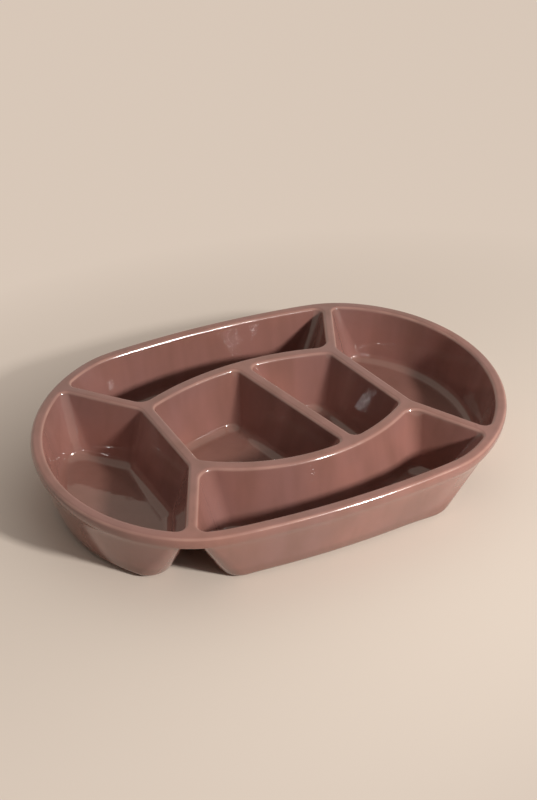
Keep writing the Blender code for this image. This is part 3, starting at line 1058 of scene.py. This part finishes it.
class PLATTER_OT_add_cups(bpy.types.Operator):
    """Raise the six cups from their rules"""

    bl_idname = "platter.add_cups"
    bl_label = "Add Cups"

    def execute(self, context):
        size = context.scene.platter_sizes
        tree = cup_tree()
        materials = platter_materials(context.scene)
        for name, sides in well_guides(size).items():
            place_piece(build_cup(name, sides, size, tree, materials), name)
        return {"FINISHED"}


class PLATTER_OT_add_rim_band(bpy.types.Operator):
    """Add the band that runs round the rim"""

    bl_idname = "platter.add_rim_band"
    bl_label = "Add Rim Band"

    def execute(self, context):
        size = context.scene.platter_sizes
        place_piece(build_band(size, platter_materials(context.scene)[:1]), "rim_band")
        return {"FINISHED"}


class PLATTER_OT_add_divider_web(bpy.types.Operator):
    """Add the web of lands that parts the wells"""

    bl_idname = "platter.add_divider_web"
    bl_label = "Add Divider Web"

    def execute(self, context):
        size = context.scene.platter_sizes
        place_piece(build_web(size, platter_materials(context.scene)[:1]), "divider_web")
        return {"FINISHED"}


class PLATTER_OT_set_stage(bpy.types.Operator):
    """Set the floor, the lamps, the surround and the camera"""

    bl_idname = "platter.set_stage"
    bl_label = "Set Stage"

    def execute(self, context):
        scene = context.scene
        add_floor(scene)
        add_lamps(scene)
        set_surround(scene)
        add_camera(scene)
        scene.view_settings.view_transform = "Standard"
        return {"FINISHED"}


def platter_materials(scene):
    """The glaze and the bare clay, made once."""
    glaze = bpy.data.materials.get(GLAZE_NAME)
    clay = bpy.data.materials.get(CLAY_NAME)
    if glaze is None:
        grain = grain_group()
        glaze = glaze_material(scene.platter_sizes, scene.platter_colours, grain, level_group())
        clay = clay_material(scene.platter_colours, grain)
    return [glaze, clay]


def add_floor(scene):
    """A wide level floor under the platter."""
    mesh = bpy.data.meshes.new("pale_floor")
    signs = ((-1, -1), (1, -1), (1, 1), (-1, 1))
    corners = [(x * FLOOR_HALF, y * FLOOR_HALF, 0) for x, y in signs]
    mesh.from_pydata(corners, [], [(0, 1, 2, 3)])
    mesh.materials.append(floor_material(scene.platter_sizes, scene.platter_colours))
    floor = bpy.data.objects.new("pale_floor", mesh)
    scene.collection.objects.link(floor)


def add_lamp(scene, name, place, size, power):
    """A rectangular lamp that faces the platter."""
    light = bpy.data.lights.new(name, "AREA")
    light.shape = "RECTANGLE"
    light.size, light.size_y = size
    light.energy = power
    light.color = LAMP_TINT
    lamp = bpy.data.objects.new(name, light)
    lamp.location = place
    facing = Vector(LAMP_TARGET) - Vector(place)
    lamp.rotation_euler = facing.to_track_quat("-Z", "Y").to_euler()
    scene.collection.objects.link(lamp)


def add_lamps(scene):
    """A small key lamp to the front right, and a wide dim strip just behind it."""
    lights = scene.platter_lights
    add_lamp(scene, "key_lamp", KEY_PLACE, KEY_SIZE, lights.key_power)
    add_lamp(scene, "strip_lamp", STRIP_PLACE, STRIP_SIZE, lights.strip_power)


def set_surround(scene):
    """Soft light, stronger from above and behind. What is seen in its place is a pale backdrop."""
    world = bpy.data.worlds.new("Studio surround")
    world.use_nodes = True
    scene.world = world
    writer = TreeWriter(world.node_tree)
    writer.tree.nodes.clear()
    surround = scene.platter_lights.surround
    direction = writer.add("ShaderNodeTexCoord").outputs["Generated"]
    upward = writer.add("ShaderNodeSeparateXYZ", {0: direction}).outputs["Z"]
    by_height = writer.spread(upward, UPWARD_RANGE, [share * surround for share in UPWARD_SHARES])
    towards_shade = writer.vectors("DOT_PRODUCT", direction, SHADED_SIDE)
    by_side = writer.spread(towards_shade, SHADED_RANGE, SHADED_SHARES)
    strength = writer.math("MULTIPLY", by_height, by_side)
    fill = writer.add(
        "ShaderNodeBackground", {"Color": (*SURROUND_TINT, 1), "Strength": strength}
    )
    backdrop = (*scene.platter_colours.backdrop, 1)
    shown = writer.add("ShaderNodeBackground", {"Color": backdrop, "Strength": 1.0})
    mixed = writer.add(
        "ShaderNodeMixShader",
        {0: seen_directly(writer), 1: fill.outputs[0], 2: shown.outputs[0]},
    )
    writer.add("ShaderNodeOutputWorld", {0: mixed.outputs[0]})


def add_camera(scene):
    """The camera at the photograph's angle."""
    place, target = Vector(CAMERA_PLACE), Vector(CAMERA_TARGET)
    data = bpy.data.cameras.new("photo_camera")
    data.lens = CAMERA_LENS
    data.sensor_width = SENSOR_WIDTH
    camera = bpy.data.objects.new("photo_camera", data)
    facing = (target - place).to_track_quat("-Z", "Y").to_matrix().to_4x4()
    camera.matrix_world = (
        Matrix.Translation(place) @ facing @ Matrix.Rotation(CAMERA_ROLL, 4, "Z")
    )
    scene.collection.objects.link(camera)
    scene.camera = camera


class PLATTER_PT_sidebar(bpy.types.Panel):
    """Platter tab in the 3D view's sidebar"""

    bl_idname = "PLATTER_PT_sidebar"
    bl_label = "Snack Platter"
    bl_space_type = "VIEW_3D"
    bl_region_type = "UI"
    bl_category = "Platter"

    def draw(self, context):
        for group in ("platter_sizes", "platter_colours", "platter_lights"):
            box = self.layout.box()
            settings = getattr(context.scene, group)
            for name in settings.bl_rna.properties.keys():
                if name not in ("rna_type", "name"):
                    box.prop(settings, name)
        for operator in OPERATORS:
            self.layout.operator(operator.bl_idname)


OPERATORS = (
    PLATTER_OT_add_rim_band,
    PLATTER_OT_add_divider_web,
    PLATTER_OT_add_cups,
    PLATTER_OT_set_stage,
)
CLASSES = (PlatterSizes, PlatterColours, PlatterLights, *OPERATORS, PLATTER_PT_sidebar)


def register():
    for item in CLASSES:
        bpy.utils.register_class(item)
    bpy.types.Scene.platter_sizes = bpy.props.PointerProperty(type=PlatterSizes)
    bpy.types.Scene.platter_colours = bpy.props.PointerProperty(type=PlatterColours)
    bpy.types.Scene.platter_lights = bpy.props.PointerProperty(type=PlatterLights)


def unregister():
    del bpy.types.Scene.platter_lights
    del bpy.types.Scene.platter_colours
    del bpy.types.Scene.platter_sizes
    for item in reversed(CLASSES):
        bpy.utils.unregister_class(item)


def main():
    register()
    bpy.ops.platter.add_rim_band()
    bpy.ops.platter.add_divider_web()
    bpy.ops.platter.add_cups()
    bpy.ops.platter.set_stage()


if __name__ == "__main__":
    main()
